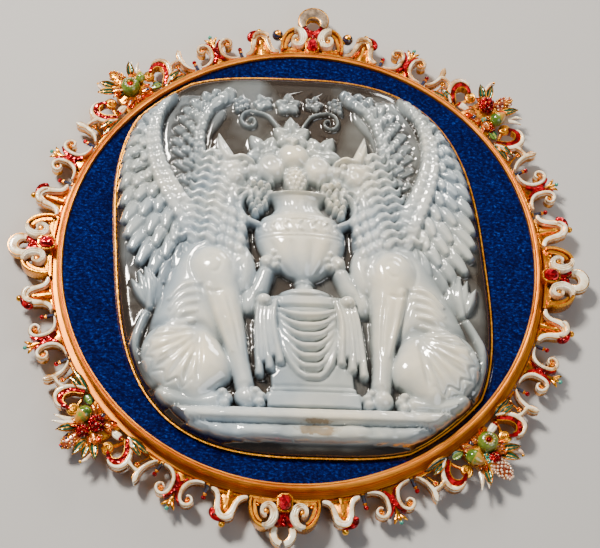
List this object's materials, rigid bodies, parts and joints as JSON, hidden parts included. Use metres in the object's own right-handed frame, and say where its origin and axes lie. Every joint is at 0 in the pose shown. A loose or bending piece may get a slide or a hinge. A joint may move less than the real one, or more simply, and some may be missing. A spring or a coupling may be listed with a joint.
{
  "type": "onyx cameo pendant in an enamelled gold frame",
  "caption": "Tall relief-cut onyx cameo set in a round gold frame with a blue enamel plate, an enamelled scroll and fruit border and a hanging loop.",
  "frame": {"origin": "centre of the round back face, which the pendant lies on", "axes": "+Z out of the front of the stone, +Y up towards the hanging loop, +X to the viewer's right"},
  "size_m": [0.1534, 0.1572, 0.0164],
  "materials": {
    "gold": "polished gold, slightly worn",
    "blue_enamel": "translucent blue enamel over engraved gold",
    "onyx": "polished layered onyx, white over smoky brown",
    "white_enamel": "opaque white enamel with red enamel and gold",
    "ruby": "table cut, polished",
    "fruit_enamel": "coloured enamel on gold",
    "dark_enamel": "dark blue enamel"
  },
  "bodies": {
    "root": {"frame": "gold", "enamel_plate": "blue_enamel", "cameo": "onyx", "cartouche_right": "white_enamel", "ruby_right": "ruby", "cartouche_top": "white_enamel", "ruby_top": "ruby", "cartouche_left": "white_enamel", "ruby_left": "ruby", "cartouche_bottom": "white_enamel", "ruby_bottom": "ruby", "bouquet_ne": "fruit_enamel", "bouquet_nw": "fruit_enamel", "bouquet_sw": "fruit_enamel", "bouquet_se": "fruit_enamel", "bracket_1": "white_enamel", "scroll_1": "white_enamel", "crest_1": "white_enamel", "bracket_2": "white_enamel", "scroll_2": "white_enamel", "crest_2": "white_enamel", "bracket_3": "white_enamel", "scroll_3": "white_enamel", "crest_3": "white_enamel", "bracket_4": "white_enamel", "scroll_4": "white_enamel", "crest_4": "white_enamel", "bracket_5": "white_enamel", "scroll_5": "white_enamel", "crest_5": "white_enamel", "bracket_6": "white_enamel", "scroll_6": "white_enamel", "crest_6": "white_enamel", "bracket_7": "white_enamel", "scroll_7": "white_enamel", "crest_7": "white_enamel", "bracket_8": "white_enamel", "scroll_8": "white_enamel", "crest_8": "white_enamel", "pin_1": "dark_enamel", "pin_2": "dark_enamel", "pin_3": "dark_enamel", "pin_4": "dark_enamel", "pin_5": "dark_enamel", "pin_6": "dark_enamel", "pin_7": "dark_enamel", "pin_8": "dark_enamel", "pin_9": "dark_enamel", "pin_10": "dark_enamel", "pin_11": "dark_enamel", "pin_12": "dark_enamel", "pin_13": "dark_enamel", "pin_14": "dark_enamel", "pin_15": "dark_enamel", "pin_16": "dark_enamel"}
  },
  "joints": []
}
